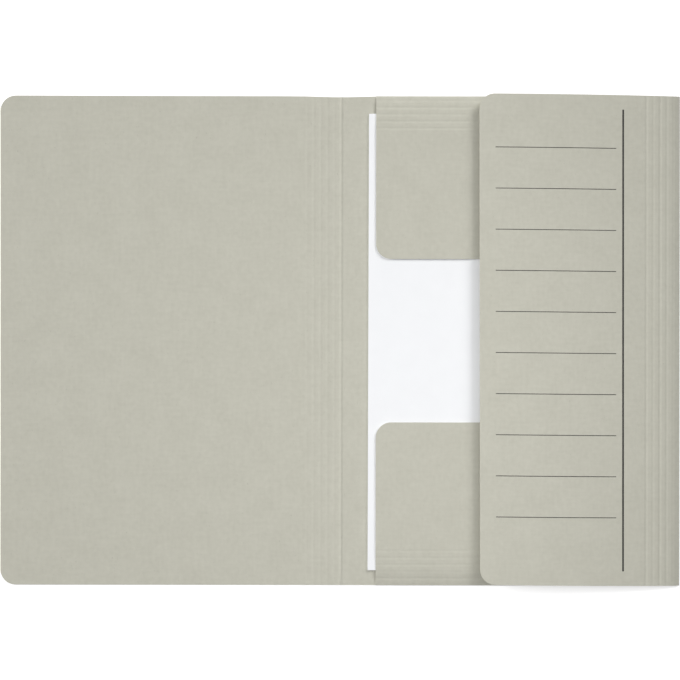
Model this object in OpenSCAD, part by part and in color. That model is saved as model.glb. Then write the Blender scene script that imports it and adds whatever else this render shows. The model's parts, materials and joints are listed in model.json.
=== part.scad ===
// Three-flap document folder of creased board, lying open on a table.
//
// The folder is one sheet: a back panel with the front cover on its left edge and a flap on
// each of its other three edges. Every fold is a band of creases with narrow strips between
// them, so that the folder grows with its contents. The cover lies flat, and the flaps are
// folded over a stack of paper, the top and bottom ones first and the side one over them.
//
// Millimetres. +X runs from the cover to the side flap, +Y up the sheet, +Z up. The origin is
// on the table under the middle of the open folder.

/* [Panels] */
// Thickness of the board
board_t = 0.4; // [0.35:0.05:0.6]
// Width of the back panel, from the spine crease to the side crease
panel_w = 245; // [190:1:320]
// Height of the back panel, from the bottom crease to the top crease
panel_h = 354; // [290:1:460]
// Width of the front cover with its strips, from the spine crease to the free edge
cover_w = 246.5; // [190:0.5:320]
// Radius of the cut corners
corner_r = 11; // [4:0.5:20]

/* [Flaps] */
// Length of the top and bottom flaps with their strips, on the flat sheet
flap_len = 118; // [90:0.5:150]
// Length of the side flap with its strips, on the flat sheet
side_flap_len = 145.5; // [90:0.5:190]
// Distance of the top and bottom flaps from the spine crease
flap_inset = 25.2; // [5:0.1:60]
// Distance of the top and bottom flaps from the side crease, where their slanted ends start
mitre_gap = 3; // [1:0.5:10]

/* [Creases] */
// Number of strips between the creases of one fold
strip_count = 5; // [3:1:8]
// Distance between neighbouring creases
crease_pitch = 5; // [4:0.25:7]
// Radius of the bead that a crease raises on the inner face
bead_r = 0.3; // [0.2:0.05:0.35]
// Clearance between the bead and the strip that turns round it
bead_clear = 0.12; // [0.08:0.02:0.2]
// Width of the groove that a crease presses into the outer face
groove_w = 0.6; // [0.4:0.1:1]
// Depth of that groove
groove_d = 0.15; // [0.05:0.05:0.2]

/* [Folds] */
// Share of their height that the top and bottom flaps gain on the first strip
flap_share = 0.68; // [0.5:0.02:0.9]
// Share of its height that the side flap gains on the first strip
side_share = 0.85; // [0.6:0.05:0.95]
// Slope of the side flap, which rises towards its free edge
side_tilt = 1.8; // [0:0.1:3]
// Gap between the paper and the top and bottom flaps
flap_gap = 0.65; // [0.55:0.05:2]
// Gap between those flaps and the side flap, at its third crease
side_gap = 0.1; // [0.1:0.05:2]

/* [Paper] */
// Width of a sheet of paper
paper_w = 210; // [150:1:216]
// Height of a sheet of paper
paper_h = 330; // [250:1:338]
// Thickness of the stack
paper_t = 1.2; // [0.8:0.1:2.4]
// Distance of the paper from the spine crease
paper_inset = 19.8; // [19:0.1:30]
// Distance of the middle of the paper below the middle of the panel
paper_drop = 1.1; // [0:0.1:3]
// Angle at which the paper lies in the folder, clockwise
paper_turn = 0.1; // [0:0.05:0.5]
// Clearance under the stack
paper_clear = 0.05; // [0.02:0.01:0.1]

/* [Hidden] */
EDGES = ["spine", "top", "bottom", "side"];
$fn = 48;

BOARD = "#c1c0b3";
PAPER = "#f4f5f7";

// The spine crease stands off the middle because the cover is wider than the panel
spine_x = (cover_w - panel_w - bead_r) / 2;
band_w = strip_count * crease_pitch;

// Heights of the flaps' inner faces above that of the back panel, the side flap's at its third crease
flap_h = paper_clear + paper_t + flap_gap;
side_h = flap_h + board_t + side_gap;

// Slopes of the first strips
flap_lean = asin(flap_share * flap_h / crease_pitch);
side_lean = asin(side_share * side_h / crease_pitch);

// Slopes of the second strips. From there to the panel the slopes fall in equal steps,
// so the strips after the first gain as much height as this many strips at the first of those slopes
ease_sum = strip_count / 2;
flap_shoulder = asin((1 - flap_share) * flap_h / crease_pitch / ease_sum);
side_shoulder = asin((1 - side_share) * side_h / crease_pitch);

// How far a fold's sheet reaches from its first crease
function reach(edge) =
    edge == "spine" ? cover_w :
    edge == "side" ? side_flap_len : flap_len;

// A fold's two ends along its first crease, and how much the low end slants in per unit of reach
function span(edge) =
    edge == "spine" || edge == "side" ? [-panel_h / 2, panel_h / 2, 0] :
    [mitre_gap - panel_w / 2, panel_w / 2 - flap_inset, 1];

function low_end(edge, s) = span(edge)[0] + span(edge)[2] * s;
function high_end(edge) = span(edge)[1];

// Slopes of a fold's first strip, second strip and panel. A slope of 180 leaves the sheet flat
function slopes(edge) =
    edge == "spine" ? [180, 180, 180] :
    edge == "side" ? [side_lean, side_shoulder, side_tilt] : [flap_lean, flap_shoulder, 0];

// Angle that strip i has turned up from the flat sheet. The panel counts as the strip after the last
function turned(edge, i) =
    let (s = slopes(edge))
    180 - (i == 1 ? s[0] : s[2] + (s[1] - s[2]) * (strip_count + 1 - i) / (strip_count - 1));

// Distance and height of crease i from the fold's first crease, which is crease 0
function crease_at(edge, i) =
    i == 0 ? [0, 0] :
    crease_at(edge, i - 1) + crease_pitch * [cos(turned(edge, i)), sin(turned(edge, i))];

function unit(v) = v / norm(v);

// Frame of a fold: X leads away from the back panel, Y along the first crease, Z = 0 on the inner face
module on_edge(edge) {
    if (edge == "bottom")
        mirror([0, 1, 0]) on_edge("top") children();
    else if (edge == "top")
        translate([spine_x + panel_w / 2, panel_h / 2, board_t]) rotate([0, 0, 90]) children();
    else if (edge == "side")
        translate([spine_x + panel_w, 0, board_t]) children();
    else
        translate([spine_x, 0, board_t]) rotate([0, 0, 180]) children();
}

// Carries strip i from the flat sheet of a fold to its folded place
module folded(edge, i) {
    c = crease_at(edge, i - 1);
    on_edge(edge)
        translate([c[0], 0, c[1]])
            rotate([0, -turned(edge, i), 0])
                translate([-(i - 1) * crease_pitch, 0, 0])
                    children();
}

// A rod of the given outline along the crease at distance s, lengthened by extra at both ends
module along_crease(edge, s, extra = 0) {
    translate([s, high_end(edge) + extra, 0])
        rotate([90, 0, 0])
            linear_extrude(high_end(edge) - low_end(edge, s) + 2 * extra)
                children();
}

// Bead that the creasing rule raises on the inner face
module bead(edge, s) {
    along_crease(edge, s) circle(bead_r);
}

// Room for the neighbour's bead
module bead_seat(edge, s) {
    along_crease(edge, s, groove_w) circle(bead_r + bead_clear);
}

// Groove that the creasing rule presses into the outer face
module groove(edge, s) {
    along_crease(edge, s, groove_w)
        translate([0, -board_t])
            polygon([[-groove_w, -groove_d], [groove_w, -groove_d], [0, groove_d]]);
}

// The two points where an arc of radius r leaves the sides of the corner q between p and n
function tangent_points(p, q, n, r) =
    let (u = unit(p - q), v = unit(n - q), half = acos(u * v) / 2)
    [q + u * r / tan(half), q + v * r / tan(half)];

function arc_centre(p, q, n, r) =
    let (u = unit(p - q), v = unit(n - q), half = acos(u * v) / 2)
    q + unit(u + v) * r / sin(half);

// Outline between distances s0 and s1. With a radius its two far corners are round
module outline(edge, s0, s1, r) {
    a = [s0, low_end(edge, s0)];
    b = [s1, low_end(edge, s1)];
    c = [s1, high_end(edge)];
    d = [s0, high_end(edge)];
    if (r == 0)
        polygon([a, b, c, d]);
    else {
        polygon(concat([a], tangent_points(a, b, c, r), tangent_points(b, c, d, r), [d]));
        translate(arc_centre(a, b, c, r)) circle(r);
        translate(arc_centre(b, c, d, r)) circle(r);
    }
}

// Flat board between distances s0 and s1
module board(edge, s0, s1, r = 0) {
    translate([0, 0, -board_t]) linear_extrude(board_t) outline(edge, s0, s1, r);
}

// Panel that carries the paper, with the bead of the first crease on each edge
module back_panel() {
    color(BOARD) {
        difference() {
            translate([spine_x, -panel_h / 2, 0]) cube([panel_w, panel_h, board_t]);
            for (edge = EDGES) on_edge(edge) groove(edge, 0);
        }
        for (edge = EDGES) on_edge(edge) bead(edge, 0);
    }
}

// Strip i of a fold, counted from the back panel, with the bead of its far crease
module fold_strip(edge, i) {
    near = (i - 1) * crease_pitch;
    far = i * crease_pitch;
    color(BOARD) folded(edge, i) {
        difference() {
            board(edge, near, far);
            bead_seat(edge, near);
            groove(edge, near);
            groove(edge, far);
        }
        bead(edge, far);
    }
}

// The wide field beyond the last crease of a fold
module end_panel(edge) {
    color(BOARD) folded(edge, strip_count + 1) {
        difference() {
            board(edge, band_w, reach(edge), corner_r);
            bead_seat(edge, band_w);
            groove(edge, band_w);
        }
    }
}

module front_cover() {
    end_panel("spine");
}

module top_flap() {
    end_panel("top");
}

module bottom_flap() {
    end_panel("bottom");
}

module side_flap() {
    end_panel("side");
}

// Loose sheets, squared up, lying a little askew on the back panel
module paper_stack() {
    color(PAPER)
        translate([spine_x + paper_inset + paper_w / 2, -paper_drop, board_t + paper_clear])
            rotate([0, 0, -paper_turn])
                translate([-paper_w / 2, -paper_h / 2, 0])
                    cube([paper_w, paper_h, paper_t]);
}

back_panel();
front_cover();
top_flap();
bottom_flap();
side_flap();
paper_stack();
for (edge = EDGES, i = [1:strip_count])
    fold_strip(edge, i);
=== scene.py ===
"""Three-flap document folder of creased grey board, lying open with a few sheets of paper under its flaps.

The board is made the way a folder is: flat blanks are cut to their outlines, the creases are pressed
into them, and the blanks are folded over the paper.
"""

import json
import math
from typing import NamedTuple

import bmesh
import bpy
import numpy as np
from mathutils import Matrix, Vector


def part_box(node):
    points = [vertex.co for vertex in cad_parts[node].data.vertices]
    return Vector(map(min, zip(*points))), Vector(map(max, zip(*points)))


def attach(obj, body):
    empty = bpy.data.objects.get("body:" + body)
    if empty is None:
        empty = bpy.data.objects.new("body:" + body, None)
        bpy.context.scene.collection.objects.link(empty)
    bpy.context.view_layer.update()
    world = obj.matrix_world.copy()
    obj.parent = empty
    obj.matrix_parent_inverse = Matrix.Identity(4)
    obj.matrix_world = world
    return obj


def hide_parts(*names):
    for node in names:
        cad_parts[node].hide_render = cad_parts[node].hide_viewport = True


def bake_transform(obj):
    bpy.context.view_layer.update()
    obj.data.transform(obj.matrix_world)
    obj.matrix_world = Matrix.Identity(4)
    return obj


bl_info = {
    "name": "Three-flap folder",
    "version": (1, 0, 0),
    "blender": (4, 5, 0),
    "location": "3D View > Sidebar > Folder",
    "description": "Builds a creased board folder, its paper, its printed rules and a studio stage",
    "category": "Add Mesh",
}

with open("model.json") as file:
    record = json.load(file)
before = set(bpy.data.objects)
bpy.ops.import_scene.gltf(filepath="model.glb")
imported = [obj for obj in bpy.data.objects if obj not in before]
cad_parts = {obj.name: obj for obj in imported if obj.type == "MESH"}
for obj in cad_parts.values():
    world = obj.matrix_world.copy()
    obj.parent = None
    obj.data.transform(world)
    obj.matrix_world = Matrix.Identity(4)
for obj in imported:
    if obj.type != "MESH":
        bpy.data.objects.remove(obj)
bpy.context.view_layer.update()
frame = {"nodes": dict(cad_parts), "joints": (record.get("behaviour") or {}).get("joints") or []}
JOINTS = {joint["name"]: joint for joint in frame["joints"]}
STRIPS = sum(node.startswith("spine_strip_") for node in frame["nodes"])
MM = 0.001


def crease_place(joint):
    return Vector(JOINTS[joint]["pos_m"])


def crease_turn(joint):
    return JOINTS[joint]["range_deg"][1]


# Points on the first creases of the spine, the side fold and the top fold, on the board's inner face
SPINE = crease_place("cover_fold")
SIDE = crease_place("side_fold")
TOP = crease_place("top_fold")
PAPER_LOW, PAPER_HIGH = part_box("paper_stack")


class FoldPlan(NamedTuple):
    """What sets one fold apart. A fold turns at its first crease and at the top of its wall."""

    # The field beyond the last crease, and the joints at the two creases that turn
    panel: str
    first_joint: str
    second_joint: str
    # Strips that stand with the wall
    wall_strips: int
    # How far each crease settles below the height that the joints give it, in millimetres. Minus is above
    settled: tuple
    # How hard the creases are pressed, and the seed of how they differ
    strength: float
    seed: int
    # Height of the waves at the free edge
    waves: float
    # Points in a row along the fold
    columns: int


FOLDS = {
    "spine": FoldPlan(
        "front_cover", "cover_fold", "spine_crease_3", wall_strips=2,
        settled=(0, 0, 0, 0, 0, 0), strength=1.0, seed=3, waves=0.1 * MM, columns=40),
    "top": FoldPlan(
        "top_flap", "top_fold", "top_crease_2", wall_strips=1,
        settled=(0, 0.42, 0.20, 0.10, 0.04, 0), strength=1.15, seed=4, waves=0.06 * MM, columns=28),
    "bottom": FoldPlan(
        "bottom_flap", "bottom_fold", "bottom_crease_2", wall_strips=1,
        settled=(0, 0.62, 0.20, 0.10, 0.04, 0), strength=0.5, seed=5, waves=0.06 * MM, columns=28),
    "side": FoldPlan(
        "side_flap", "side_fold", "side_crease_2", wall_strips=1,
        settled=(0, 0.60, 0.30, 0.05, -0.20, -0.40), strength=1.0, seed=6, waves=0.12 * MM, columns=40),
}

# Decimals to which places in metres are rounded, and the distance within which two of them are one
DECIMALS = 7
TOUCH = 1e-7
# Half-length of the curve where the sheet turns at a crease, and where it is folded over
SOFT = 0.7 * MM
SOFT_FOLDED = 0.35 * MM
# Bends in degrees at which a crease's bead starts to be pressed flat, and at which it is flat
PRESSED_FROM = 15
PRESSED_FLAT = 75
# How far from a crease its bead can be pressed flat
BEAD_REACH = 1.5 * MM
# Half-length of the stretch about a turning crease that bend works out
BEND_HALF = 0.6 * MM
# How far a fold's blank reaches onto the back panel
LAP = 3 * MM
# Width of the broken corner along a cut edge
ARRIS = 0.06 * MM
# How far along the top edge the cut at the spine spreads
DIP_SPREAD = 20 * MM
# How far the ridge along the first spine crease spreads onto the back panel and onto the spine
RIDGE_ON_PANEL = 1.29 * MM
RIDGE_ON_SPINE = 6 * MM
# Share of the cover's lift that its bottom corner has
LOW_CORNER_LIFT = 0.12
# Waves along the free edges: radians a metre, phase and share of the height
WAVES = ((21, 0.6, 0.6), (47, 2.1, 0.4))
# Half-width of the rubbed tone along a crease, and its strength where the board isn't folded over
WEAR_HALF = 0.55 * MM
WEAR_LEAST = 0.3
# Faces that meet at more than this angle keep a sharp edge
SHARP_ANGLE = math.radians(35)

# Distances of the rows of points beside a crease. Where the board is folded over, more lie on its curve
CREASE_ROWS = np.array([0, 0.15, 0.3, 0.45, 0.6, 0.8, 1.0, 1.3, 1.6, 1.9]) * MM
CURVE_ROWS = np.array([0, 0.02, 0.05, 0.09, 0.14, 0.2, 0.26, 0.4, 0.6, 0.8, 1.0]) * SOFT_FOLDED
FOLDED_ROWS = np.concatenate([CURVE_ROWS, CREASE_ROWS[CREASE_ROWS > 1.5 * SOFT_FOLDED]])
# Rows on the panel beyond the last crease, where they start, and rows on its round corners
PANEL_ROWS = 24
PANEL_START = 3 * MM
CORNER_ROWS = 12
# Rows nearer than this are one
ROW_GAP = 0.004 * MM
# Columns of points on the back panel beside the end flaps and along them, and its rows
MARGIN_COLUMNS = 7
BACK_COLUMNS = 22
BACK_ROWS = 34
# Share of the distance between two sheets of paper that a sheet fills
SHEET_FILL = 0.93


# Settings


def length(name, description, default):
    return bpy.props.FloatProperty(
        name=name, description=description, default=default, unit="LENGTH", subtype="DISTANCE", precision=5)


def angle(name, description, degrees):
    return bpy.props.FloatProperty(
        name=name, description=description, default=math.radians(degrees), subtype="ANGLE")


def ratio(name, description, default, **limits):
    return bpy.props.FloatProperty(name=name, description=description, default=default, **limits)


def count(name, description, default):
    return bpy.props.IntProperty(name=name, description=description, default=default, min=1)


def colour(name, description, default):
    return bpy.props.FloatVectorProperty(
        name=name, description=description, default=default, size=3, min=0, max=1, subtype="COLOR")


class FolderBoard(bpy.types.PropertyGroup):
    """Sizes of the board and its creases"""

    thickness: length("Thickness", "Thickness of the board", SPINE.z)
    crease_pitch: length("Crease pitch", "Distance between neighbouring creases", 5 * MM)
    cover_reach: length("Cover reach", "From the first spine crease to the cover's free edge",
                        SPINE.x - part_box("front_cover")[0].x)
    flap_reach: length("End flap reach", "Length of the top and bottom flaps on the flat sheet", 118 * MM)
    side_reach: length("Side flap reach", "Length of the side flap on the flat sheet", 145.5 * MM)
    flap_inset: length("Flap inset", "From the spine crease to the end flaps", 25.2 * MM)
    mitre_gap: length("Mitre gap", "From the side crease to the end flaps' slanted ends", 3 * MM)
    corner_radius: length("Corner radius", "Radius of the cut corners", 11 * MM)
    side_tilt: angle("Side flap tilt", "Slope of the side flap towards its free edge", 1.8)
    side_skew: ratio("Side flap skew", "Shift of the flap along its crease, per unit of reach", 0.0088)
    side_lean: ratio("Side flap lean", "How far the flap's free edge leans, per unit of height", 0.0027)
    side_bow: length("Side flap bow", "Height of the flap's arch from its creases to its edge", 1.75 * MM)
    cover_lift: length("Cover lift", "How far the cover's top corner springs up", 1.8 * MM)
    spine_ridge: length("Spine ridge", "Height of the ridge along the first spine crease", 0.08 * MM)
    spine_dip: length("Spine dip", "How far the top edge is cut back at the spine", 0.7 * MM)
    bead_height: length("Bead height", "Height of the bead that a crease raises inside", 0.044 * MM)
    bead_half: length("Bead half-width", "Half the width of that bead", 1.8 * MM)
    groove_depth: length("Groove depth", "Depth of the groove that a crease presses outside", 0.115 * MM)
    groove_half: length("Groove half-width", "Half the width of that groove", 1.65 * MM)
    top_shift: length("Top crease shift", "Shift of the top fold's creases towards its first", 1.4 * MM)
    spine_strength: ratio("Spine strength", "Strength of the first spine crease against the others", 2.3)
    unevenness: ratio("Crease unevenness", "How much the creases differ in strength", 0.35, min=0, max=1)


class FolderPaper(bpy.types.PropertyGroup):
    """Sizes of the paper in the folder"""

    width: length("Width", "Width of a sheet", 210 * MM)
    height: length("Height", "Height of a sheet", 330 * MM)
    sheets: count("Sheets", "Number of sheets", 12)
    turn: angle("Turn", "Angle at which the stack lies in the folder", -0.1)
    spread: length("Spread", "How far a sheet strays from the stack", 0.22 * MM)
    spread_turn: angle("Spread turn", "How far a sheet turns from the stack", 0.03)
    seed: count("Seed", "Seed of the sheets' places", 7)


class FolderPrint(bpy.types.PropertyGroup):
    """Sizes of the rules printed on the side flap"""

    rules: count("Rules", "Number of writing rules", 10)
    pitch: length("Pitch", "Distance between the writing rules", 29.6 * MM)
    rule_length: length("Rule length", "Length of a writing rule", 87.0 * MM)
    rule_width: length("Rule width", "Thickness of a writing rule", 0.55 * MM)
    rule_margin: length("Rule margin", "From the side flap's free edge to the writing rules", 11.45 * MM)
    first_drop: length("First drop", "From the flap's top edge to the first rule", 38.5 * MM)
    line_margin: length("Line margin", "From the side flap's free edge to the long line", 103.5 * MM)
    line_width: length("Line width", "Thickness of the long line", 1.3 * MM)
    line_length: length("Line length", "Length of the long line", 333 * MM)
    film: length("Film", "Height of the ink above the board", 0.012 * MM)


class FolderColours(bpy.types.PropertyGroup):
    """Colours of the board, paper, ink and floor"""

    board_light: colour("Board, light", "Lighter tone of the board", (0.556, 0.547, 0.470))
    board_dark: colour("Board, dark", "Darker tone of the board", (0.507, 0.498, 0.424))
    board_core: colour("Board core", "Colour of the cut edges and of rubbed creases", (0.62, 0.61, 0.53))
    fleck: colour("Fleck", "Colour of the stray fibres in the board", (0.30, 0.285, 0.23))
    paper: colour("Paper", "Colour of the sheets", (0.92, 0.93, 0.947))
    ink: colour("Ink", "Colour of the printed rules", (0.022, 0.021, 0.019))
    floor: colour("Floor", "Colour of the floor", (0.80, 0.80, 0.80))


# Folding


def spine_dip(board, distance):
    """How far the sheet's top edge is cut back, at a distance from the first spine crease."""
    return board.spine_dip * np.exp(-(distance / DIP_SPREAD) ** 2)


class Fold:
    """One folded edge of the sheet: the fields beyond the back panel and the creases between them.

    Distances run from the first crease away from the back panel, along the flat sheet. Heights run from
    the inner face, so the outer face is at minus the thickness.
    """

    def __init__(self, edge, board):
        self.edge = edge
        self.board = board
        self.plan = FOLDS[edge]
        self.pitch = board.crease_pitch
        self.shift = board.top_shift if edge == "top" else 0.0
        self.band = self.pitch * STRIPS
        self.reach = {"spine": board.cover_reach, "side": board.side_reach}.get(edge, board.flap_reach)
        self.turns = np.radians(self.field_turns())
        self.runs = np.stack([np.cos(self.turns), np.sin(self.turns)], 1)
        steps = np.cumsum(self.runs[1:-1] * self.pitch, axis=0)
        self.creases = np.vstack([[0.0, 0.0], steps])
        bends = np.degrees(np.abs(np.diff(self.turns)))
        self.pressed = np.clip((bends - PRESSED_FROM) / (PRESSED_FLAT - PRESSED_FROM), 0, 1)
        self.folded_over = self.pressed > 0.5
        self.soft = np.where(self.folded_over, SOFT_FOLDED, SOFT)

    def field_turns(self):
        """Angles that the back panel, the strips and the panel have turned up from the flat sheet."""
        turns = np.zeros(STRIPS + 2)
        if self.edge != "spine":
            first = crease_turn(self.plan.first_joint)
            second = first + crease_turn(self.plan.second_joint)
            last = 180 - (math.degrees(self.board.side_tilt) if self.edge == "side" else 0)
            turns[1:] = [first, *np.linspace(second, last, STRIPS)]
        sunk = np.append(self.plan.settled, 0) * MM
        widths = np.append(np.full(STRIPS, self.pitch), self.reach - self.band)
        turns[1:] += np.degrees(np.arctan2(np.diff(sunk), widths))
        return turns

    def world(self, out, along, up):
        """Points of the fold's own frame in the part's frame."""
        height = SPINE.z + up
        if self.edge == "spine":
            return np.stack([SPINE.x - out, -along, height], 1)
        if self.edge == "side":
            return np.stack([SIDE.x + out, along, height], 1)
        middle = (SPINE.x + SIDE.x) / 2
        sign = 1 if self.edge == "top" else -1
        return np.stack([middle - along, sign * (TOP.y + out), height], 1)

    def past_creases(self, distance):
        """Share of the way from the last crease to the free edge."""
        return np.clip((distance - self.band) / (self.reach - self.band), 0, 1)

    def cover_spring(self, distance, along):
        """How far the cover springs up towards its top corner."""
        upper = np.clip(0.5 - along / (2 * TOP.y), 0, 1)
        share = LOW_CORNER_LIFT + (1 - LOW_CORNER_LIFT) * upper ** 2
        return self.board.cover_lift * self.past_creases(distance) ** 2 * share

    def spine_ridge(self, distance):
        """How far the sheet stands up along the first spine crease."""
        spread = np.where(distance < 0, RIDGE_ON_PANEL, RIDGE_ON_SPINE)
        off = np.clip(distance / spread, -1, 1)
        return self.board.spine_ridge * (0.5 + 0.5 * np.cos(math.pi * off))

    def rise(self, distance, along):
        """How far the sheet stands off its flat fields, which no real sheet quite keeps to."""
        past = self.past_creases(distance)
        waves = sum(share * np.sin(along * rate + phase) for rate, phase, share in WAVES)
        height = self.plan.waves * past * waves
        if self.edge == "spine":
            height = height + self.cover_spring(distance, along) + self.spine_ridge(distance)
        if self.edge == "side":
            height = height - self.board.side_bow * 4 * past * (1 - past)
        return height

    def nearest_crease(self, distance):
        """Number of the nearest crease, counted from 0."""
        return np.clip(np.round(distance / self.pitch), 0, STRIPS).astype(int)

    def inner_line(self, distance):
        """Places and headings of the folded sheet's inner face, seen along the crease."""
        field = np.clip(np.floor(distance / self.pitch).astype(int) + 1, 0, STRIPS + 1)
        before = np.maximum(field - 1, 0)
        heading = self.runs[field]
        line = self.creases[before] + (distance - before * self.pitch)[:, None] * heading
        # Close to a crease the sheet leaves the straight line for a curve
        nearest = self.nearest_crease(distance)
        off = (distance - nearest * self.pitch)[:, None]
        soft = self.soft[nearest][:, None]
        share = np.clip((off / soft + 1) / 2, 0, 1)
        corner, into, out = self.creases[nearest], self.runs[nearest], self.runs[nearest + 1]
        start, end = corner - soft * into, corner + soft * out
        curve = (1 - share) ** 2 * start + 2 * share * (1 - share) * corner + share ** 2 * end
        turning = (1 - share) * into + share * out
        turning = turning / np.linalg.norm(turning, axis=1, keepdims=True)
        curved = np.abs(off) < soft
        return np.where(curved, curve, line), np.where(curved, turning, heading)

    def place(self, points):
        """Folds points of the flat sheet, given as distance, place along the crease and height."""
        distance, along, height = points.T
        if self.edge == "side":
            along = along + self.board.side_skew * np.maximum(distance - self.pitch, 0)
        # In a tight fold the bead is pressed flat
        nearest = self.nearest_crease(distance)
        on_bead = (np.abs(distance - nearest * self.pitch) < BEAD_REACH) & (height > 0)
        height = np.where(on_bead, height * (1 - self.pressed[nearest]), height)
        height = height + self.rise(distance, along)
        line, heading = self.inner_line(distance)
        line = line + height[:, None] * np.stack([-heading[:, 1], heading[:, 0]], 1)
        if self.edge == "side":
            lean = self.board.side_lean * along * np.sqrt(self.past_creases(distance))
            line = line + lean[:, None] * heading
        return self.world(line[:, 0], along, line[:, 1])

    def ends(self, distance):
        """The two ends of the sheet along the crease, at each distance."""
        board = self.board
        radius = board.corner_radius
        past = np.clip(distance - (self.reach - radius), 0, radius)
        arc = np.sqrt(np.maximum(radius * radius - past * past, 0))
        corner = radius - arc
        if self.edge == "spine":
            return -TOP.y + corner + spine_dip(board, distance), TOP.y - corner
        if self.edge == "side":
            return -TOP.y + corner, TOP.y - corner
        half = (SIDE.x - SPINE.x) / 2
        mitre = board.mitre_gap - half
        # The corner of the slanted end is an arc that touches the slant and the free edge
        centre = mitre + (self.reach - radius) + radius * math.sqrt(2)
        slant = np.where(past > radius / math.sqrt(2), centre - arc, mitre + np.maximum(distance, 0))
        return slant, half - board.flap_inset - corner

    def pressed_at(self, crease):
        """Distance at which the creasing rule pressed a crease into the sheet."""
        return crease * self.pitch - self.shift * (crease > 0)

    def wear(self, distance):
        """How far the creases are rubbed, which is most where they are folded over."""
        nearest = self.nearest_crease(distance + self.shift)
        off = (distance - self.pressed_at(nearest)) / WEAR_HALF
        return np.exp(-off ** 2) * (WEAR_LEAST + (1 - WEAR_LEAST) * self.pressed[nearest])

    def rows(self, start, stop):
        """Distances at which a blank gets a row of points, close together at creases and round corners."""
        found = [start, stop, self.reach - ARRIS]
        for crease in range(STRIPS + 1):
            offsets = FOLDED_ROWS if self.folded_over[crease] else CREASE_ROWS
            at = self.pressed_at(crease)
            found += [*(at + offsets), *(at - offsets), crease * self.pitch, (crease + 0.5) * self.pitch]
        radius = self.board.corner_radius
        found += list(np.linspace(self.band + PANEL_START, self.reach - radius, PANEL_ROWS))
        found += list(self.reach - radius + radius * np.sin(np.linspace(0, math.pi / 2, CORNER_ROWS)))
        found = np.unique(np.round([row for row in found if start <= row <= stop], DECIMALS))
        keep = np.concatenate([[True], np.diff(found) > ROW_GAP])
        return found[keep]

    def bend(self, piece, joint):
        """Works out the stretch at one of the fold's two moving creases, and bakes the piece's place into
        its points.
        """
        crease = 0 if joint == self.plan.first_joint else self.plan.wall_strips
        before, after = self.turns[crease], self.turns[crease + 1]
        heading = np.array([math.cos((before + after) / 2), math.sin((before + after) / 2)])
        half = BEND_HALF * min(1, 2 * math.cos((after - before) / 2))
        stretch = np.stack([self.creases[crease] + side * half * heading for side in (-1, 1)])
        points = self.world(stretch[:, 0], np.zeros(2), stretch[:, 1])
        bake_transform(piece)


# Meshes


def new_piece(name, points, faces, attributes=None):
    mesh = bpy.data.meshes.new(name)
    mesh.from_pydata([tuple(p) for p in points], [], faces)
    for key, values in (attributes or {}).items():
        values = np.asarray(values, np.float32)
        kind, field = ("FLOAT_VECTOR", "vector") if values.ndim == 2 else ("FLOAT", "value")
        mesh.attributes.new(key, kind, "POINT").data.foreach_set(field, values.ravel())
    piece = bpy.data.objects.new(name, mesh)
    bpy.context.scene.collection.objects.link(piece)
    return piece


def mesh_points(mesh):
    points = np.zeros(len(mesh.vertices) * 3, np.float32)
    mesh.vertices.foreach_get("co", points)
    return points.reshape(-1, 3).astype(float)


def set_points(mesh, points):
    mesh.vertices.foreach_set("co", np.asarray(points, np.float32).ravel())
    mesh.update()


def smooth(piece):
    """Turns the faces outwards and shades them smooth, with sharp edges at large angles."""
    work = bmesh.new()
    work.from_mesh(piece.data)
    bmesh.ops.recalc_face_normals(work, faces=work.faces)
    work.to_mesh(piece.data)
    work.free()
    piece.data.polygons.foreach_set("use_smooth", np.ones(len(piece.data.polygons), bool))
    piece.data.set_sharp_from_angle(angle=SHARP_ANGLE)
    piece.data.update()


def blank_faces(rows, columns):
    """Faces of a blank whose rows are closed rings of points, with a cap at either end.

    A ring runs along the inner face, over the high rim, back along the outer face and over the low rim.
    """
    ring = 2 * columns + 4
    faces = []
    for row in range(rows - 1):
        here, ahead = row * ring, (row + 1) * ring
        for this in range(ring):
            following = (this + 1) % ring
            faces.append((here + this, ahead + this, ahead + following, here + following))
    for base in (0, (rows - 1) * ring):
        inside = [base + ring - 1, *range(base, base + columns + 1)]
        outside = [base + ring - 2, *range(base + ring - 3, base + columns, -1)]
        faces += zip(inside, inside[1:], outside[1:], outside)
    return faces


def cut_blank(name, fold, start, stop):
    """Flat piece of board between two distances, with broken corners along its cut edges."""
    thickness = fold.board.thickness
    columns = fold.plan.columns
    share = np.linspace(0, 1, columns)
    rows = fold.rows(start, stop)
    points, cut = [], []
    for distance, low, high in zip(rows, *fold.ends(rows)):
        free = abs(distance - fold.reach) < TOUCH
        arris = 0 if distance < 0 else ARRIS
        inner, outer = (-ARRIS, ARRIS - thickness) if free else (0, -thickness)
        places = low + arris + (high - low - 2 * arris) * share
        points += [(distance, along, inner) for along in places]
        points += [(distance, high, -arris), (distance, high, arris - thickness)]
        points += [(distance, along, outer) for along in places[::-1]]
        points += [(distance, low, arris - thickness), (distance, low, -arris)]
        face, rim = float(free), float(distance > 0)
        cut += 2 * ([face] * columns + [rim] * 2)
    points = np.array(points)
    return new_piece(name, points, blank_faces(len(rows), columns), {
        "cut": cut, "wear": fold.wear(points[:, 0]), "sheet_place": fold.world(*points.T)})


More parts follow.
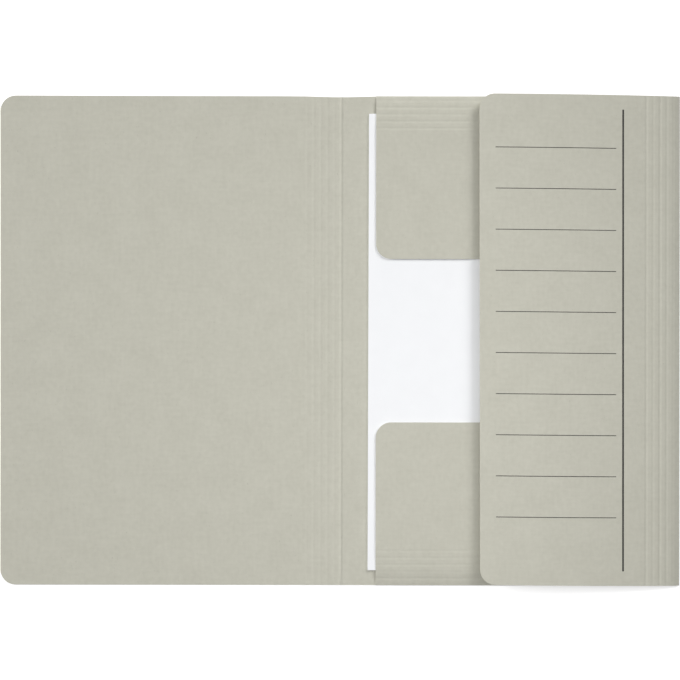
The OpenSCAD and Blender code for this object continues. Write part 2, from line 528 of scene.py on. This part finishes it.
def back_board_mesh(board):
    """Points, cut marks and faces of the back panel, notched where the end flaps' folds lap onto it."""
    left, right = SPINE.x + LAP, SIDE.x - LAP
    flap_left, flap_right = SPINE.x + board.flap_inset, SIDE.x - board.mitre_gap
    top, notch = TOP.y, TOP.y - LAP
    margin = np.linspace(left, flap_left, MARGIN_COLUMNS)
    xs = np.concatenate([margin, np.linspace(flap_left, flap_right, BACK_COLUMNS), [right]])
    xs = np.unique(np.round(xs, DECIMALS))
    ys = np.concatenate([[-top, -top + ARRIS], np.linspace(-notch, notch, BACK_ROWS), [top - ARRIS, top]])
    index, points, cut, faces = {}, [], [], []

    def on_panel(column, row):
        x, y = (xs[column] + xs[column + 1]) / 2, (ys[row] + ys[row + 1]) / 2
        return abs(y) < notch or not flap_left < x < flap_right

    def corner(column, row, inner):
        key = column, row, inner
        if key not in index:
            index[key] = len(points)
            x, y = xs[column], ys[row]
            dip = spine_dip(board, x - SPINE.x) if y > notch + ARRIS else 0
            points.append((x, y - dip, board.thickness if inner else 0))
            cut.append(float(abs(y) > top - ARRIS / 2))
        return index[key]

    cells = {cell for cell in np.ndindex(len(xs) - 1, len(ys) - 1) if on_panel(*cell)}
    for column, row in sorted(cells):
        ring = [(column, row), (column + 1, row), (column + 1, row + 1), (column, row + 1)]
        faces.append([corner(*spot, True) for spot in ring])
        faces.append([corner(*spot, False) for spot in ring[::-1]])
        around = [(column, row - 1), (column + 1, row), (column, row + 1), (column - 1, row)]
        for spot, following, beside in zip(ring, ring[1:] + ring[:1], around):
            if beside not in cells:
                rim = [(*spot, False), (*following, False), (*following, True), (*spot, True)]
                faces.append([corner(*place) for place in rim])
    return np.array(points), cut, faces


# Geometry nodes


def new_tree(name, numbers, counts):
    """Geometry node tree that is given geometry, numbers, counts and a material, and its outer sockets."""
    tree = bpy.data.node_groups.new(name, "GeometryNodeTree")
    inputs = {"Geometry": "Geometry", "Material": "Material"}
    inputs.update(dict.fromkeys(numbers, "Float"))
    inputs.update(dict.fromkeys(counts, "Int"))
    for label, kind in inputs.items():
        tree.interface.new_socket(label, in_out="INPUT", socket_type="NodeSocket" + kind)
    tree.interface.new_socket("Geometry", in_out="OUTPUT", socket_type="NodeSocketGeometry")
    return tree, tree.nodes.new("NodeGroupInput").outputs, tree.nodes.new("NodeGroupOutput").inputs


def put(tree, kind, *links, **settings):
    """New node. Links are pairs of an input's name or number and a socket or value."""
    node = tree.nodes.new(kind)
    for key, value in settings.items():
        setattr(node, key, value)
    for key, value in links:
        if isinstance(value, bpy.types.NodeSocket):
            tree.links.new(value, node.inputs[key])
        else:
            node.inputs[key].default_value = value
    return node


def calc(tree, operation, *values):
    return put(tree, "ShaderNodeMath", *enumerate(values), operation=operation).outputs[0]


def vector(tree, **parts):
    return put(tree, "ShaderNodeCombineXYZ", *parts.items()).outputs[0]


def between(tree, share, first, second):
    """Number that lies between two others."""
    return put(tree, "ShaderNodeMix", ("Factor", share), ("A", first), ("B", second)).outputs[0]


def random_number(tree, low, high, *links):
    return put(tree, "FunctionNodeRandomValue", (2, low), (3, high), *links, data_type="FLOAT").outputs[1]


def joined(tree, *parts):
    together = put(tree, "GeometryNodeJoinGeometry")
    for part in parts:
        tree.links.new(part.outputs[0], together.inputs[0])
    return together.outputs[0]


def close_tree(tree, out, geometry, material):
    """Ends a tree in plain geometry with its material."""
    real = put(tree, "GeometryNodeRealizeInstances", ("Geometry", geometry))
    painted = put(tree, "GeometryNodeSetMaterial", ("Geometry", real.outputs[0]), ("Material", material))
    tree.links.new(painted.outputs[0], out[0])


def run_tree(piece, tree, values):
    """Gives a piece the tree's result as its plain mesh."""
    modifier = piece.modifiers.new(tree.name, "NODES")
    modifier.node_group = tree
    for item in tree.interface.items_tree:
        if item.in_out == "INPUT" and item.name in values:
            modifier[item.identifier] = values[item.name]
    bpy.context.view_layer.update()
    made = bpy.data.meshes.new_from_object(piece.evaluated_get(bpy.context.evaluated_depsgraph_get()))
    piece.modifiers.remove(modifier)
    plain = piece.data
    piece.data = made
    made.name = piece.name
    bpy.data.meshes.remove(plain)
    if not len(made.polygons):
        raise RuntimeError(f"{tree.name} made no faces for {piece.name}")


def crease_tree():
    """Presses creases into a flat blank: beads on its inner face and grooves in its outer face."""
    tree, given, out = new_tree("press_creases", counts=("Creases", "Seed"), numbers=(
        "Crease Pitch", "Crease Shift", "Thickness", "Bead Height", "Bead Half", "Groove Depth",
        "Groove Half", "Strength", "First Strength", "Unevenness"))
    position = put(tree, "GeometryNodeInputPosition").outputs[0]
    place = put(tree, "ShaderNodeSeparateXYZ", ("Vector", position)).outputs
    # The nearest crease, counted from 0, and the distance from it. All but the first are shifted
    last = calc(tree, "SUBTRACT", given["Creases"], 1.0)
    along = calc(tree, "ADD", place["X"], given["Crease Shift"])
    number = calc(tree, "ROUND", calc(tree, "DIVIDE", along, given["Crease Pitch"]))
    number = calc(tree, "MAXIMUM", calc(tree, "MINIMUM", number, last), 0.0)
    not_first = calc(tree, "MINIMUM", number, 1.0)
    shift = calc(tree, "MULTIPLY", not_first, given["Crease Shift"])
    crease = calc(tree, "SUBTRACT", calc(tree, "MULTIPLY", number, given["Crease Pitch"]), shift)
    off = calc(tree, "ABSOLUTE", calc(tree, "SUBTRACT", place["X"], crease))
    # Share of the way from the outer face to the inner one
    inner = calc(tree, "ADD", calc(tree, "DIVIDE", place["Z"], given["Thickness"]), 1.0)
    half = between(tree, inner, given["Groove Half"], given["Bead Half"])
    tall = between(tree, inner, given["Groove Depth"], given["Bead Height"])
    turn = calc(tree, "MULTIPLY", calc(tree, "MINIMUM", calc(tree, "DIVIDE", off, half), 1.0), math.pi)
    hump = calc(tree, "MULTIPLY_ADD", calc(tree, "COSINE", turn), 0.5, 0.5)
    uneven = random_number(
        tree, calc(tree, "SUBTRACT", 1.0, given["Unevenness"]), calc(tree, "ADD", 1.0, given["Unevenness"]),
        ("ID", number), ("Seed", given["Seed"]))
    even = between(tree, not_first, given["First Strength"], given["Strength"])
    strength = calc(tree, "MULTIPLY", uneven, even)
    press = calc(tree, "MULTIPLY", calc(tree, "MULTIPLY", hump, tall), strength)
    offset = vector(tree, Z=press)
    moved = put(tree, "GeometryNodeSetPosition", ("Geometry", given["Geometry"]), ("Offset", offset))
    close_tree(tree, out, moved.outputs[0], given["Material"])
    return tree


def thin_plate(tree, width, height, thickness, across, along):
    """Closed flat plate about the origin, from its underside up."""
    grid = put(tree, "GeometryNodeMeshGrid", ("Size X", width), ("Size Y", height),
               ("Vertices X", across), ("Vertices Y", along))
    up = vector(tree, Z=1.0)
    raised = put(tree, "GeometryNodeExtrudeMesh", ("Mesh", grid.outputs[0]), ("Offset", up),
                 ("Offset Scale", thickness), ("Individual", False), mode="FACES")
    under = put(tree, "GeometryNodeFlipFaces", ("Mesh", grid.outputs[0]))
    return put(tree, "GeometryNodeMergeByDistance", ("Geometry", joined(tree, under, raised)),
               ("Distance", TOUCH)).outputs[0]


def paper_tree():
    """Stack of thin sheets, each a little out of line."""
    tree, given, out = new_tree("paper_stack_sheets", counts=("Sheets", "Seed"), numbers=(
        "Width", "Height", "Sheet Thickness", "Sheet Pitch", "Spread", "Spread Turn"))
    sheet = thin_plate(tree, given["Width"], given["Height"], given["Sheet Thickness"], across=8, along=12)
    step = vector(tree, Z=given["Sheet Pitch"])
    line = put(tree, "GeometryNodeMeshLine", ("Count", given["Sheets"]), ("Offset", step), mode="OFFSET")
    spread = vector(tree, X=given["Spread"], Y=given["Spread"])
    back = put(tree, "ShaderNodeVectorMath", (0, spread), (1, (-1, -1, -1)), operation="MULTIPLY")
    stray = put(tree, "FunctionNodeRandomValue", (0, back.outputs[0]), (1, spread), ("Seed", given["Seed"]),
                data_type="FLOAT_VECTOR")
    turn = random_number(
        tree, calc(tree, "MULTIPLY", given["Spread Turn"], -1.0), given["Spread Turn"],
        ("Seed", calc(tree, "ADD", given["Seed"], 1.0)))
    placed = put(tree, "GeometryNodeInstanceOnPoints", ("Points", line.outputs[0]), ("Instance", sheet),
                 ("Rotation", vector(tree, Z=turn)))
    strayed = put(tree, "GeometryNodeTranslateInstances", ("Instances", placed.outputs[0]),
                  ("Translation", stray.outputs[0]), ("Local Space", False))
    close_tree(tree, out, strayed.outputs[0], given["Material"])
    return tree


def rule_tree():
    """Writing rules and one long line as thin films of ink, laid out flat."""
    tree, given, out = new_tree("printed_rules", counts=("Rules",), numbers=(
        "Rule Pitch", "Rule Length", "Rule Width", "Rule Start", "First Rule", "Line Place", "Line Width",
        "Line Length", "Film"))
    rule = thin_plate(tree, given["Rule Length"], given["Rule Width"], given["Film"], across=48, along=3)
    middle = calc(tree, "MULTIPLY_ADD", given["Rule Length"], 0.5, given["Rule Start"])
    first = vector(tree, X=middle, Y=given["First Rule"])
    step = vector(tree, Y=calc(tree, "MULTIPLY", given["Rule Pitch"], -1.0))
    places = put(tree, "GeometryNodeMeshLine", ("Count", given["Rules"]), ("Start Location", first),
                 ("Offset", step), mode="OFFSET")
    rules = put(tree, "GeometryNodeInstanceOnPoints", ("Points", places.outputs[0]), ("Instance", rule))
    line = thin_plate(tree, given["Line Width"], given["Line Length"], given["Film"], across=3, along=120)
    aside = put(tree, "GeometryNodeTransform", ("Geometry", line),
                ("Translation", vector(tree, X=given["Line Place"])))
    close_tree(tree, out, joined(tree, rules, aside), given["Material"])
    return tree


# Materials

# How far the board's core shows at a cut edge
CORE_AT_CUT = 0.7
# Darker tone of the paper, as a share of its colour
PAPER_SHADE = 0.975


def new_material(name):
    """New material and its node tree, with no nodes in it."""
    material = bpy.data.materials.new(name)
    material.use_nodes = True
    material.node_tree.nodes.clear()
    return material, material.node_tree


def surface(tree, *links):
    """Gives a material its surface. Links are those of its shader."""
    shader = put(tree, "ShaderNodeBsdfPrincipled", *links)
    put(tree, "ShaderNodeOutputMaterial", ("Surface", shader.outputs[0]))


def rgba(rgb):
    return (*rgb, 1.0)


def attribute(tree, name):
    return put(tree, "ShaderNodeAttribute", attribute_name=name).outputs


def noise(tree, place, scale, detail=2, stretch=(1, 1, 1)):
    """Noise over a place in metres, as a number."""
    mapped = put(tree, "ShaderNodeMapping", ("Vector", place), ("Scale", stretch))
    return put(tree, "ShaderNodeTexNoise", ("Vector", mapped.outputs[0]), ("Scale", scale),
               ("Detail", detail)).outputs[0]


def ramp(tree, value, low, high, to_low=0.0, to_high=1.0):
    return put(tree, "ShaderNodeMapRange", ("Value", value), ("From Min", low), ("From Max", high),
               ("To Min", to_low), ("To Max", to_high)).outputs[0]


def weighted(tree, *parts):
    """Sum of numbers, each given with its weight."""
    total = 0.0
    for value, weight in parts:
        total = calc(tree, "MULTIPLY_ADD", value, weight, total)
    return total


def mixed(tree, share, first, second):
    """Colour that lies between two others."""
    return put(tree, "ShaderNodeMix", (0, share), (6, first), (7, second), data_type="RGBA").outputs[2]


def bumped(tree, height, strength, distance):
    return put(tree, "ShaderNodeBump", ("Strength", strength), ("Distance", distance),
               ("Height", height)).outputs[0]


def board_material(colours):
    """Uncoated grey board: soft mottling, fibres along and across it, stray flecks, rubbed creases."""
    material, tree = new_material("grey_board")
    place = attribute(tree, "sheet_place")["Vector"]
    cloud = noise(tree, place, scale=55)
    felt = noise(tree, place, scale=290)
    along = noise(tree, place, scale=480, stretch=(1, 0.14, 1))
    across = noise(tree, place, scale=480, stretch=(0.14, 1, 1))
    grain = noise(tree, place, scale=3600)
    fibres = calc(tree, "ADD", along, across)
    tone = weighted(tree, (grain, 0.12), (cloud, 0.30), (fibres, 0.22), (felt, 0.40))
    tone = ramp(tree, tone, low=0.475, high=0.775)
    base = mixed(tree, tone, rgba(colours.board_dark), rgba(colours.board_light))
    flecks = noise(tree, place, scale=1300, detail=1, stretch=(1, 0.5, 1))
    flecks = ramp(tree, flecks, low=0.735, high=0.80, to_high=0.45)
    base = mixed(tree, flecks, base, rgba(colours.fleck))
    # The paler core shows at cut edges, and in patches where the creases are rubbed
    patches = noise(tree, place, scale=420, detail=3)
    patches = ramp(tree, patches, low=0.35, high=0.7, to_low=0.1, to_high=0.55)
    rubbed = calc(tree, "MULTIPLY", attribute(tree, "wear")["Fac"], patches)
    cut = calc(tree, "MULTIPLY", attribute(tree, "cut")["Fac"], CORE_AT_CUT)
    base = mixed(tree, calc(tree, "MAXIMUM", rubbed, cut), base, rgba(colours.board_core))
    roughness = ramp(tree, fibres, low=0.7, high=1.3, to_low=0.74, to_high=0.9)
    normal = bumped(tree, weighted(tree, (grain, 1.0), (fibres, 0.5)), strength=0.35, distance=0.04 * MM)
    surface(tree, ("Base Color", base), ("Roughness", roughness), ("Normal", normal),
            ("Specular IOR Level", 0.3))
    return material


def paper_material(colours):
    """Plain copy paper with a faint formation."""
    material, tree = new_material("white_paper")
    place = put(tree, "ShaderNodeTexCoord").outputs["Object"]
    cloud = noise(tree, place, scale=70, detail=3)
    grain = noise(tree, place, scale=1500)
    tone = weighted(tree, (grain, 0.4), (cloud, 0.6))
    shade = tuple(PAPER_SHADE * part for part in colours.paper)
    base = mixed(tree, ramp(tree, tone, low=0.3, high=0.7), rgba(shade), rgba(colours.paper))
    roughness = ramp(tree, tone, low=0.3, high=0.7, to_low=0.82, to_high=0.92)
    normal = bumped(tree, noise(tree, place, scale=2600), strength=0.15, distance=0.02 * MM)
    surface(tree, ("Base Color", base), ("Roughness", roughness), ("Normal", normal),
            ("Specular IOR Level", 0.25))
    return material


def ink_material(colours):
    """Offset ink that lets a little of the board's grain through."""
    material, tree = new_material("rule_ink")
    place = put(tree, "ShaderNodeTexCoord").outputs["Object"]
    thin = ramp(tree, noise(tree, place, scale=2400), low=0.45, high=0.85, to_high=0.16)
    base = mixed(tree, thin, rgba(colours.ink), rgba(colours.board_dark))
    surface(tree, ("Base Color", base), ("Roughness", 0.6), ("Specular IOR Level", 0.3))
    return material


def material_for(name, make):
    return bpy.data.materials.get(name) or make(bpy.context.scene.folder_colours)


def tree_for(name, make):
    return bpy.data.node_groups.get(name) or make()


# Pieces


def creased_piece(name, fold, start, stop, joint, nodes):
    """Cuts, creases and folds one blank."""
    board = fold.board
    strength = fold.plan.strength
    piece = cut_blank(name, fold, start, stop)
    run_tree(piece, tree_for("press_creases", crease_tree), {
        "Crease Pitch": board.crease_pitch, "Creases": STRIPS + 1, "Crease Shift": fold.shift,
        "Thickness": board.thickness, "Bead Height": board.bead_height, "Bead Half": board.bead_half,
        "Groove Depth": board.groove_depth, "Groove Half": board.groove_half, "Strength": strength,
        "First Strength": board.spine_strength if fold.edge == "spine" else strength,
        "Unevenness": board.unevenness, "Seed": fold.plan.seed,
        "Material": material_for("grey_board", board_material)})
    set_points(piece.data, fold.place(mesh_points(piece.data)))
    smooth(piece)
    fold.bend(piece, joint)
    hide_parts(*nodes)


def fold_pieces(edge, wall_name, sheet_name):
    """The two blanks of a fold: one over its first crease, and one from its wall to the free edge."""
    fold = Fold(edge, bpy.context.scene.folder_board)
    plan = fold.plan
    # They meet half-way across the wall's last strip
    seam = (plan.wall_strips - 0.5) * fold.pitch
    strips = [f"{edge}_strip_{i}" for i in range(1, STRIPS + 1)]
    wall, rest = strips[:plan.wall_strips], strips[plan.wall_strips:]
    creased_piece(wall_name, fold, -LAP, seam, plan.first_joint, wall)
    creased_piece(sheet_name, fold, seam, fold.reach, plan.second_joint, rest + [plan.panel])


class FolderOperator:
    """What every maker in this file shares."""

    bl_options = {"REGISTER", "UNDO"}


class FOLDER_OT_back_board(FolderOperator, bpy.types.Operator):
    """Make the panel that carries the paper"""

    bl_idname = "folder.back_board"
    bl_label = "Back panel"

    def execute(self, context):
        points, cut, faces = back_board_mesh(context.scene.folder_board)
        piece = new_piece("back_board", points, faces, {
            "cut": cut, "wear": np.zeros(len(points)), "sheet_place": points})
        piece.data.materials.append(material_for("grey_board", board_material))
        smooth(piece)
        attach(piece, "back_panel")
        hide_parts("back_panel")
        return {"FINISHED"}


class FOLDER_OT_cover(FolderOperator, bpy.types.Operator):
    """Make the spine and the front cover"""

    bl_idname = "folder.cover"
    bl_label = "Spine and cover"

    def execute(self, context):
        fold_pieces("spine", "spine_fold", "cover_board")
        return {"FINISHED"}


class FOLDER_OT_end_flaps(FolderOperator, bpy.types.Operator):
    """Make the top and bottom flaps with their folds"""

    bl_idname = "folder.end_flaps"
    bl_label = "Top and bottom flaps"

    def execute(self, context):
        fold_pieces("top", "top_fold", "top_flap_board")
        fold_pieces("bottom", "bottom_fold", "bottom_flap_board")
        return {"FINISHED"}


class FOLDER_OT_side_flap(FolderOperator, bpy.types.Operator):
    """Make the side flap with its fold"""

    bl_idname = "folder.side_flap"
    bl_label = "Side flap"

    def execute(self, context):
        fold_pieces("side", "side_fold", "side_flap_board")
        return {"FINISHED"}


class FOLDER_OT_rules(FolderOperator, bpy.types.Operator):
    """Print the rules on the side flap"""

    bl_idname = "folder.rules"
    bl_label = "Printed rules"

    def execute(self, context):
        board, ink = context.scene.folder_board, context.scene.folder_print
        fold = Fold("side", board)
        piece = new_piece("printed_rules", np.zeros((1, 3)), [])
        run_tree(piece, tree_for("printed_rules", rule_tree), {
            "Rules": ink.rules, "Rule Pitch": ink.pitch, "Rule Length": ink.rule_length,
            "Rule Width": ink.rule_width, "Rule Start": fold.reach - ink.rule_margin - ink.rule_length,
            "First Rule": TOP.y - ink.first_drop, "Line Place": fold.reach - ink.line_margin,
            "Line Width": ink.line_width, "Line Length": ink.line_length, "Film": 2 * ink.film,
            "Material": material_for("rule_ink", ink_material)})
        # Half of the film's height sinks into the board
        points = mesh_points(piece.data)
        points[:, 2] -= board.thickness + ink.film
        set_points(piece.data, fold.place(points))
        smooth(piece)
        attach(piece, "side_flap")
        return {"FINISHED"}


class FOLDER_OT_paper(FolderOperator, bpy.types.Operator):
    """Lay the sheets of paper in the folder"""

    bl_idname = "folder.paper"
    bl_label = "Paper"

    def execute(self, context):
        paper = context.scene.folder_paper
        pitch = (PAPER_HIGH.z - PAPER_LOW.z) / paper.sheets
        piece = new_piece("paper_sheets", np.zeros((1, 3)), [])
        run_tree(piece, tree_for("paper_stack_sheets", paper_tree), {
            "Width": paper.width, "Height": paper.height, "Sheet Thickness": SHEET_FILL * pitch,
            "Sheet Pitch": pitch, "Sheets": paper.sheets, "Spread": paper.spread,
            "Spread Turn": paper.spread_turn, "Seed": paper.seed,
            "Material": material_for("white_paper", paper_material)})
        middle = (PAPER_LOW + PAPER_HIGH) / 2
        middle.z = PAPER_LOW.z
        piece.data.transform(Matrix.Translation(middle) @ Matrix.Rotation(paper.turn, 4, "Z"))
        smooth(piece)
        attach(piece, "paper_stack")
        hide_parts("paper_stack")
        return {"FINISHED"}


# Stage


class Softbox(NamedTuple):
    """Square lamp that faces the origin. Places and widths are in metres."""

    name: str
    place: tuple
    width: float
    watts: float


SOFTBOXES = (
    Softbox("left_softbox", place=(-4.5, 0.6, 1.70), width=2.3, watts=303.0),
    Softbox("right_softbox", place=(2.95, 3.15, 2.50), width=2.3, watts=180.0),
    Softbox("low_fill_softbox", place=(0.09, -0.13, 0.41), width=0.27, watts=0.30),
    Softbox("side_fill_softbox", place=(0.15, 0.0, 0.36), width=0.25, watts=0.13),
)
# Strength of the light that the object gets from all round
AMBIENT = 0.028
CAMERA_PLACE = (-0.0002, 0.00044, 1.25)
CAMERA_ROLL = math.radians(0.08)
# Width of what the camera sees on the table, and width of its sensor in millimetres
VIEW_WIDTH = 492.7 * MM
SENSOR_WIDTH = 36
# Half the width of the floor, its height, and how brightly it shows to the camera beyond the light on it
FLOOR_HALF = 4.0
FLOOR_HEIGHT = -0.25 * MM
FLOOR_GLOW = 0.52
# Distances from the middle at which the floor starts to run into the background, and at which it is white
FADE_START = 0.45
FADE_END = 1.2


def seen_directly(tree):
    """1 for rays that show the stage to the camera or in a reflection, and 0 for light on the object."""
    path = put(tree, "ShaderNodeLightPath")
    seen = calc(tree, "MAXIMUM", path.outputs["Is Camera Ray"], path.outputs["Is Glossy Ray"])
    return calc(tree, "MAXIMUM", seen, path.outputs["Is Transmission Ray"])


def floor_material(colours):
    """Matt floor that keeps the object's shadow, and further out runs into the white background."""
    material, tree = new_material("pale_floor")
    seen = seen_directly(tree)
    matt = put(tree, "ShaderNodeBsdfDiffuse", ("Color", rgba(colours.floor)))
    glow = put(tree, "ShaderNodeEmission", ("Strength", calc(tree, "MULTIPLY", seen, FLOOR_GLOW)))
    near = put(tree, "ShaderNodeAddShader", (0, matt.outputs[0]), (1, glow.outputs[0]))
    place = put(tree, "ShaderNodeTexCoord").outputs["Object"]
    distance = put(tree, "ShaderNodeVectorMath", (0, place), operation="LENGTH").outputs["Value"]
    share = calc(tree, "MULTIPLY", ramp(tree, distance, FADE_START, FADE_END), seen)
    far = put(tree, "ShaderNodeEmission", ("Strength", 1.0))
    whole = put(tree, "ShaderNodeMixShader", (0, share), (1, near.outputs[0]), (2, far.outputs[0]))
    put(tree, "ShaderNodeOutputMaterial", ("Surface", whole.outputs[0]))
    return material


def make_floor():
    corners = ((-1, -1), (1, -1), (1, 1), (-1, 1))
    points = [(FLOOR_HALF * x, FLOOR_HALF * y, FLOOR_HEIGHT) for x, y in corners]
    floor = new_piece("floor", points, [(0, 1, 2, 3)])
    floor.data.materials.append(material_for("pale_floor", floor_material))


def make_world(scene):
    """White background that gives the object only a little light."""
    world = bpy.data.worlds.new("studio")
    world.use_nodes = True
    tree = world.node_tree
    tree.nodes.clear()
    strength = ramp(tree, seen_directly(tree), 0, 1, AMBIENT, 1.0)
    sky = put(tree, "ShaderNodeBackground", ("Strength", strength), ("Color", (1, 1, 1, 1)))
    put(tree, "ShaderNodeOutputWorld", ("Surface", sky.outputs[0]))
    scene.world = world


def make_lamp(scene, box):
    lamp = bpy.data.lights.new(box.name, "AREA")
    lamp.shape = "SQUARE"
    lamp.size = box.width
    lamp.energy = box.watts
    stand = bpy.data.objects.new(box.name, lamp)
    stand.location = box.place
    stand.rotation_euler = Vector(box.place).to_track_quat("Z", "Y").to_euler()
    scene.collection.objects.link(stand)


def make_camera(scene):
    """Camera that looks straight down."""
    lens = bpy.data.cameras.new("camera")
    lens.sensor_width = SENSOR_WIDTH
    lens.lens = SENSOR_WIDTH * CAMERA_PLACE[2] / VIEW_WIDTH
    camera = bpy.data.objects.new("camera", lens)
    camera.location = CAMERA_PLACE
    camera.rotation_euler = (0, 0, CAMERA_ROLL)
    scene.collection.objects.link(camera)
    scene.camera = camera
    scene.view_settings.view_transform = "Standard"


class FOLDER_OT_stage(FolderOperator, bpy.types.Operator):
    """Set up the floor, the lamps and the camera"""

    bl_idname = "folder.stage"
    bl_label = "Stage"

    def execute(self, context):
        make_floor()
        make_world(context.scene)
        for box in SOFTBOXES:
            make_lamp(context.scene, box)
        make_camera(context.scene)
        return {"FINISHED"}


# Add-on


class FOLDER_PT_makers(bpy.types.Panel):
    """Lists the makers and their settings"""

    bl_idname = "FOLDER_PT_makers"
    bl_label = "Three-flap folder"
    bl_space_type = "VIEW_3D"
    bl_region_type = "UI"
    bl_category = "Folder"

    def draw(self, context):
        for maker in MAKERS:
            self.layout.operator(maker.bl_idname)
        for key, group in GROUPS.items():
            box = self.layout.box()
            box.label(text=group.__doc__)
            for name in group.__annotations__:
                box.prop(getattr(context.scene, key), name)


GROUPS = {
    "folder_board": FolderBoard,
    "folder_paper": FolderPaper,
    "folder_print": FolderPrint,
    "folder_colours": FolderColours,
}
MAKERS = (
    FOLDER_OT_stage,
    FOLDER_OT_back_board,
    FOLDER_OT_cover,
    FOLDER_OT_end_flaps,
    FOLDER_OT_side_flap,
    FOLDER_OT_rules,
    FOLDER_OT_paper,
)
CLASSES = (*GROUPS.values(), *MAKERS, FOLDER_PT_makers)


def register():
    for each in CLASSES:
        bpy.utils.register_class(each)
    for key, group in GROUPS.items():
        setattr(bpy.types.Scene, key, bpy.props.PointerProperty(type=group))


def unregister():
    for key in GROUPS:
        delattr(bpy.types.Scene, key)
    for each in reversed(CLASSES):
        bpy.utils.unregister_class(each)


def main():
    register()
    bpy.ops.folder.stage()
    bpy.ops.folder.back_board()
    bpy.ops.folder.cover()
    bpy.ops.folder.end_flaps()
    bpy.ops.folder.side_flap()
    bpy.ops.folder.rules()
    bpy.ops.folder.paper()


if __name__ == "__main__":
    main()
